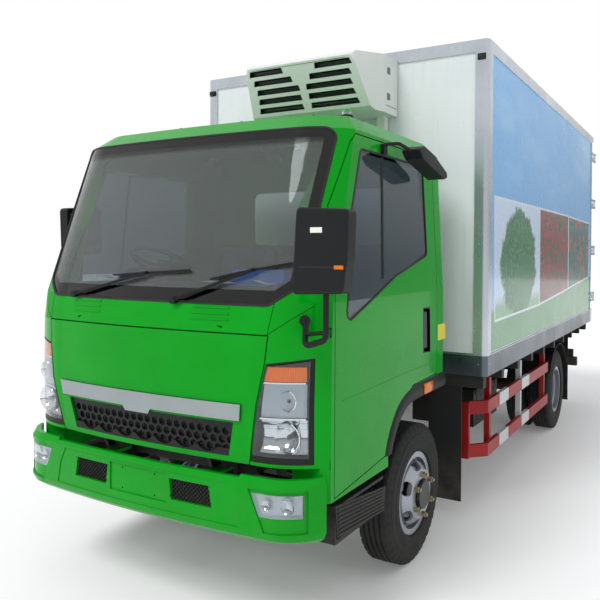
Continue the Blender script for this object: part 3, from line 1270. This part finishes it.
# cooling unit: latches and the seams of its lid
unitLook = {"latchY": -1.30, "latchZ": (2.76, 2.93), "latchHalf": (0.006, 0.018, 0.022), "seamZ": 2.700,
            "seamY": (-1.18, -1.25, -1.33), "seam": 0.0025, "lineZ": (2.720, 2.955), "lineHalf": 0.36,
            "line": 0.002}
unitSkin = surfaceOf("cooling_unit")
unitTrim = bmesh.new()
for sideName, side in sideNames:
    for z in unitLook["latchZ"]:
        place, half = sideHit(unitSkin, side, unitLook["latchY"], z), Vector(unitLook["latchHalf"])
        boxInto(unitTrim, place - half, place + half, round=0.003)
    seam = [sideHit(unitSkin, side, y, unitLook["seamZ"]) for y in unitLook["seamY"]]
    tubeInto(unitTrim, seam, unitLook["seam"], segments=6)
for z in unitLook["lineZ"]:
    line = [frontHit(unitSkin, unitLook["lineHalf"] * (step / 6 - 1), z) for step in range(13)]
    tubeInto(unitTrim, line, unitLook["line"], segments=6)
addPiece("unitTrim", unitTrim, "unitGrey", "chassis", smooth=40)
print("box and unit dressed")

# roof dome lamp of the cab, and the four small roof plugs
roofLook = {"dome": (0.745, -2.310), "plugs": ((-0.62, -2.46), (-0.20, -2.50), (0.22, -2.50), (0.64, -2.46)),
            "plug": 0.008}
roofSkin = surfaceOf("cab_shell")
domeFoot, domeCap, plugs = bmesh.new(), bmesh.new(), bmesh.new()
place = topHit(roofSkin, *roofLook["dome"])[0]
latheInto(domeFoot, [(-0.008, 0.034), (0.010, 0.034), (0.014, 0.030), (0.014, 0.0005)], place, "Z", 28)
latheInto(domeCap, [(0.013, 0.027), (0.030, 0.026), (0.040, 0.021), (0.046, 0.012), (0.048, 0.0005)], place,
          "Z", 28)
for x, y in roofLook["plugs"]:
    rivetInto(plugs, *topHit(roofSkin, x, y), roofLook["plug"])
addPiece("domeFoot", domeFoot, "blackPlastic", "cab", smooth=40)
addPiece("domeCap", domeCap, "clearLens", "cab", smooth=40)
addPiece("roofPlugs", plugs, "sealRubber", "cab", smooth=60)

# amber side markers on the arch flares, and the blank sticker behind each door
flareLampLook = {"probe": (-1.675, 0.944), "y": (-1.742, -1.612), "z": (0.920, 0.980), "half": 0.006,
                 "lean": 0.004}
stickerLook = {"probe": (-1.445, 1.25), "y": (-1.508, -1.380), "z": (1.202, 1.298), "half": 0.0005}
flareSkin = surfaceOf("arch_trim", "cab_shell")
flareLamp, sticker = bmesh.new(), bmesh.new()
for sideName, side in sideNames:
    x = sideHit(flareSkin, side, *flareLampLook["probe"]).x
    reach = side * flareLampLook["lean"] + flareLampLook["half"]
    boxInto(flareLamp, (x - reach, flareLampLook["y"][0], flareLampLook["z"][0]),
            (x + reach, flareLampLook["y"][1], flareLampLook["z"][1]), round=0.003)
    x = sideHit(flareSkin, side, *stickerLook["probe"]).x
    boxInto(sticker, (x - stickerLook["half"], stickerLook["y"][0], stickerLook["z"][0]),
            (x + stickerLook["half"], stickerLook["y"][1], stickerLook["z"][1]))
addPiece("flareLamps", flareLamp, "amberLens", "cab", smooth=40)
addPiece("blankStickers", sticker, "labelYellow", "cab")
print("roof lamp, flare markers and stickers made")

# tank straps, filler cap and battery lid ribs
tankLook = {"straps": (0.2, 0.8), "strapHalf": 0.022, "strapMetal": 0.003, "capInset": (0.09, 0.16)}
tankLow, tankHigh = spanOf(pointsOf("fuel_tank"))
batteryLow, batteryHigh = spanOf(pointsOf("battery_box"))
tankTrim, batteryTrim = bmesh.new(), bmesh.new()
tankMiddle = (tankLow + tankHigh) / 2
out = 1 if tankMiddle.x > 0 else -1
tankSkin = surfaceOf("fuel_tank")
for share in tankLook["straps"]:
    y = tankLow.y + (tankHigh.y - tankLow.y) * share
    half, metal = Vector((0, tankLook["strapHalf"], 0)), tankLook["strapMetal"]
    rings = []
    for turn in range(0, 181, 10):
        looks = Vector((out * sin(radians(turn)), 0, cos(radians(turn))))
        place = tankSkin.ray_cast(Vector((tankMiddle.x, y, tankMiddle.z)) + looks, -looks)[0]
        rings.append([place - half, place - half + looks * metal, place + half + looks * metal, place + half])
    ringsInto(tankTrim, rings)
across, along = tankLook["capInset"]
capPlace = topHit(tankSkin, tankHigh.x - across if out > 0 else tankLow.x + across, tankLow.y + along, 1.2)[0]
cap = [(-0.004, 0.045), (0.016, 0.045), (0.020, 0.040), (0.030, 0.038), (0.034, 0.030), (0.034, 0.0005)]
latheInto(tankTrim, cap, capPlace, "Z", 28)
addPiece("tankStraps", tankTrim, "strapSteel", "chassis", smooth=35)
batteryLook = {"ribs": (0.14, 0.32, 0.50, 0.68, 0.86), "rib": 0.002, "ribHalf": 0.012,
               "ribEnds": (0.04, 0.05),
               "clipInset": 0.06, "clipHalf": 0.014, "clipX": (-0.003, 0.004), "clipZ": (-0.040, 0.002)}
batteryOut = 1 if (batteryLow.x + batteryHigh.x) > 0 else -1
face = batteryHigh.x if batteryOut > 0 else batteryLow.x
for share in batteryLook["ribs"]:
    y = batteryLow.y + (batteryHigh.y - batteryLow.y) * share
    metal, half = batteryLook["rib"], batteryLook["ribHalf"]
    under, over = batteryLook["ribEnds"]
    boxInto(batteryTrim, (face - metal, y - half, batteryLow.z + under),
            (face + metal, y + half, batteryHigh.z - over), round=0.0008)
near, far = sorted(face + reach * batteryOut for reach in batteryLook["clipX"])
under, over = batteryLook["clipZ"]
for y in (batteryLow.y + batteryLook["clipInset"], batteryHigh.y - batteryLook["clipInset"]):
    half = batteryLook["clipHalf"]
    boxInto(batteryTrim, (near, y - half, batteryHigh.z + under), (far, y + half, batteryHigh.z + over),
            round=0.001)
addPiece("batteryRibs", batteryTrim, "blackPlastic", "chassis", smooth=35)
print("tank and battery box dressed")

# tail lamps: three cells in a dark body
tailLook = {"proud": 0.008, "deep": 0.014, "rim": 0.006, "gap": 0.002}
tailBody, tailRed, tailAmber, tailClear = (bmesh.new() for _ in range(4))
for lamp in looseParts("tail_lamps"):
    low, high = spanOf(vert.co for vert in lamp.verts)
    boxInto(tailBody, low, (high.x, high.y - tailLook["proud"], high.z), round=0.004)
    side = 1 if low.x + high.x > 0 else -1
    rim, gap = tailLook["rim"], tailLook["gap"]
    wide = (high.x - low.x - 2 * rim) / 3
    for cell, mesh in enumerate((tailAmber, tailRed, tailClear)):
        start = high.x - rim - wide * (cell + 1) if side > 0 else low.x + rim + wide * cell
        boxInto(mesh, (start + gap, high.y - tailLook["deep"], low.z + rim),
                (start + wide - gap, high.y, high.z - rim), round=0.004)
for mesh, name, finish in ((tailBody, "tailBody", "blackPlastic"), (tailRed, "tailRed", "redLens"),
                           (tailAmber, "tailAmber", "amberLens"), (tailClear, "tailClear", "clearLens")):
    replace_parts(addPiece(name, mesh, finish, "chassis", smooth=40), "tail_lamps")
print("tail lamps made")

flareLook = {"outer": ((-2.250, 0.690), (-2.215, 0.770), (-2.150, 0.862), (-2.060, 0.938), (-1.940, 0.982),
                       (-1.800, 0.996), (-1.600, 0.998), (-1.390, 0.998)),
             "inner": ((-2.168, 0.690), (-2.135, 0.750), (-2.080, 0.820), (-2.005, 0.874), (-1.915, 0.902),
                       (-1.800, 0.910), (-1.600, 0.912), (-1.390, 0.912)),
             "back": 0.862, "lip": 0.946, "bulge": 0.950, "edge": 0.934}
stepLook = {"outline": ((-2.752, 0.606), (-2.236, 0.541), (-2.252, 0.420), (-2.736, 0.458)), "ribs": 7,
            "x": (0.928, 0.9425), "rib": 0.004, "ribTall": 0.05, "inset": 0.03}
creaseLook = {"points": ((-2.690, 1.0625), (-2.131, 1.077), (-1.665, 1.084)), "radius": 0.0032,
              "sunk": 0.0012, "steps": 14}


def smoothRow(points, steps):
    # an even curve through a row of pairs
    row = []
    for index in range(len(points) - 1):
        p0, p1 = Vector(points[max(index - 1, 0)]), Vector(points[index])
        p2, p3 = Vector(points[index + 1]), Vector(points[min(index + 2, len(points) - 1)])
        for step in range(steps):
            t = step / steps
            row.append(0.5 * (2 * p1 + (p2 - p0) * t + (2 * p0 - 5 * p1 + 4 * p2 - p3) * t * t
                              + (3 * p1 - p0 - 3 * p2 + p3) * t ** 3))
    return row + [Vector(points[-1])]


flareMesh, stepMesh = bmesh.new(), bmesh.new()
for sideName, side in sideNames:
    rings = []
    for outer, inner in zip(smoothRow(flareLook["outer"], 5), smoothRow(flareLook["inner"], 5)):
        section = [(outer, flareLook["back"]), (outer, flareLook["edge"]),
                   (outer.lerp(inner, 0.12), flareLook["edge"] + 0.009),
                   (outer.lerp(inner, 0.5), flareLook["bulge"]), (outer.lerp(inner, 0.93), flareLook["lip"]),
                   (inner, flareLook["lip"] - 0.005), (inner, flareLook["back"])]
        rings.append([(side * x, place.x, place.y) for place, x in section])
    ringsInto(flareMesh, rings)
    # ribbed panel on the outside of the step, lying on its slope
    top0, top1, low1, low0 = (Vector(pair) for pair in stepLook["outline"])
    x0, x1 = stepLook["x"]
    prismInto(stepMesh, (top0, top1, low1, low0), side * x0, side * (x1 - x0))
    for rib in range(stepLook["ribs"]):
        share = (rib + 0.8) / (stepLook["ribs"] + 0.6)
        corners = []
        for down, first, last in ((share, stepLook["inset"], 1 - stepLook["inset"]),
                                  (share + stepLook["ribTall"], 1 - stepLook["inset"], stepLook["inset"])):
            front, back = top0.lerp(low0, down), top1.lerp(low1, down)
            corners += [front.lerp(back, first), front.lerp(back, last)]
        prismInto(stepMesh, corners, side * x1, side * stepLook["rib"])
    # pressed line along the door
    creaseMesh = bmesh.new()
    doorSkin = surfaceOf("door_" + sideName)
    places = []
    (y0, z0), (y1, z1), (y2, z2) = creaseLook["points"]
    for step in range(creaseLook["steps"] + 1):
        y = y0 + (y2 - y0) * step / creaseLook["steps"]
        z = z0 + (z1 - z0) * (y - y0) / (y1 - y0) if y < y1 else z1 + (z2 - z1) * (y - y1) / (y2 - y1)
        places.append(sideHit(doorSkin, side, y, z, -creaseLook["sunk"]))
    tubeInto(creaseMesh, places, creaseLook["radius"], segments=10)
    addPiece("doorCrease" + sideName.capitalize(), creaseMesh, "cabGreen", "door_" + sideName, smooth=60)
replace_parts(addPiece("archFlares", flareMesh, "blackPlastic", "cab", smooth=35), "arch_trim")
addPiece("stepPanels", stepMesh, "blackPlastic", "cab", smooth=20)
print("flares, step panels and door creases made")

# dark sheet close behind the grille's holes
backLook = {"inset": (0.010, 0.012), "gap": 0.016, "rows": 9, "columns": 31, "reach": 0.02}
grilleSkin = surfaceOf("grille")
grilleCorners = pointsOf("grille")
grilleLow, grilleHigh = spanOf(grilleCorners)
acrossInset, upInset = backLook["inset"]
grilleRows = []
for step in range(backLook["rows"]):
    z = grilleLow.z + upInset + (grilleHigh.z - grilleLow.z - 2 * upInset) * step / (backLook["rows"] - 1)
    half = max(place.x for place in grilleCorners if abs(place.z - z) < backLook["reach"]) - acrossInset
    probes = [-half + 2 * half * share / 60 for share in range(61)]
    hits = [(x, frontDepth(grilleSkin, x, z)) for x in probes]
    hits = [(x, y) for x, y in hits if y is not None]
    row = [-half + 2 * half * column / (backLook["columns"] - 1) for column in range(backLook["columns"])]
    grilleRows.append([(x, min(hits, key=lambda pair: abs(pair[0] - x))[1] + backLook["gap"], z)
                       for x in row])
grilleBack = bmesh.new()
ringsInto(grilleBack, grilleRows, closeRing=False)
addPiece("grilleBack", grilleBack, "sealRubber", "front_flap")
print("grille backed")


stageLook = {"size": 40.0, "skyLight": 0.66, "sunPower": 1.7, "sunAngle": 24.0, "sunTurn": (38.0, 8.0, -28.0),
             "floorSockets": {"Base Color": srgb(244, 245, 246), "Roughness": 0.9, "Specular IOR Level": 0.1,
                              "Emission Color": (1.0, 1.0, 1.0, 1.0), "Emission Strength": 0.12}}
floorMesh = bmesh.new()
bmesh.ops.create_grid(floorMesh, x_segments=1, y_segments=1, size=stageLook["size"])
floorData = bpy.data.meshes.new("floor")
floorMesh.to_mesh(floorData)
floorMesh.free()
floor = bpy.data.objects.new("floor", floorData)
bpy.context.scene.collection.objects.link(floor)
floorFinish, _, floorShader = startFinish("floorFinish")
for socket, value in stageLook["floorSockets"].items():
    floorShader.inputs[socket].default_value = value
floorData.materials.append(floorFinish)

world = bpy.data.worlds.new("daylight")
bpy.context.scene.world = world
world.use_nodes = True
sky = world.node_tree
background = sky.nodes["Background"]
ray = sky.nodes.new("ShaderNodeLightPath")
lookUp = sky.nodes.new("ShaderNodeSeparateXYZ")
sky.links.new(sky.nodes.new("ShaderNodeTexCoord").outputs["Generated"], lookUp.inputs[0])
# reflections see a bright sky over a darker band of surroundings, windows see those surroundings too
mirrored = rangeNode(sky, lookUp.outputs["Z"], 0.02, 0.22, 0.30, 0.92)
level = mixValue(sky, ray.outputs["Is Glossy Ray"], stageLook["skyLight"], mirrored)
level = mixValue(sky, ray.outputs["Is Transmission Ray"], level,
                 rangeNode(sky, lookUp.outputs["Z"], 0.0, 0.35, 0.16, 0.5))
level = mixValue(sky, ray.outputs["Is Camera Ray"], level, 1.0)
background.inputs["Color"].default_value = (1.0, 1.0, 1.0, 1.0)
sky.links.new(level, background.inputs["Strength"])

sun = bpy.data.objects.new("sun", bpy.data.lights.new("sun", "SUN"))
sun.data.energy = stageLook["sunPower"]
sun.data.angle = radians(stageLook["sunAngle"])
sun.visible_glossy = False
sun.rotation_euler = [radians(turn) for turn in stageLook["sunTurn"]]
bpy.context.scene.collection.objects.link(sun)

cameraSettings = {"place": (2.396, -5.314, 1.733), "yaw": 28.977, "pitch": -0.88, "roll": 0.326,
                  "lens": 40.124, "shift": (-0.0731, -0.0626)}
yaw, pitch, roll = (radians(cameraSettings[key]) for key in ("yaw", "pitch", "roll"))
ahead = Vector((-sin(yaw) * cos(pitch), cos(yaw) * cos(pitch), sin(pitch)))
right = ahead.cross(Vector((0, 0, 1))).normalized()
upward = right.cross(ahead)
side = right * cos(roll) + upward * sin(roll)
top = upward * cos(roll) - right * sin(roll)
camera = bpy.data.objects.new("camera", bpy.data.cameras.new("camera"))
camera.data.lens = cameraSettings["lens"]
camera.data.sensor_width = 36.0
camera.data.shift_x, camera.data.shift_y = cameraSettings["shift"]
camera.data.clip_end = 200.0
camera.matrix_world = Matrix((
    (side.x, top.x, -ahead.x, cameraSettings["place"][0]),
    (side.y, top.y, -ahead.y, cameraSettings["place"][1]),
    (side.z, top.z, -ahead.z, cameraSettings["place"][2]),
    (0, 0, 0, 1)))
bpy.context.scene.collection.objects.link(camera)
bpy.context.scene.camera = camera
bpy.context.scene.view_settings.view_transform = "Standard"
print("camera and light set")
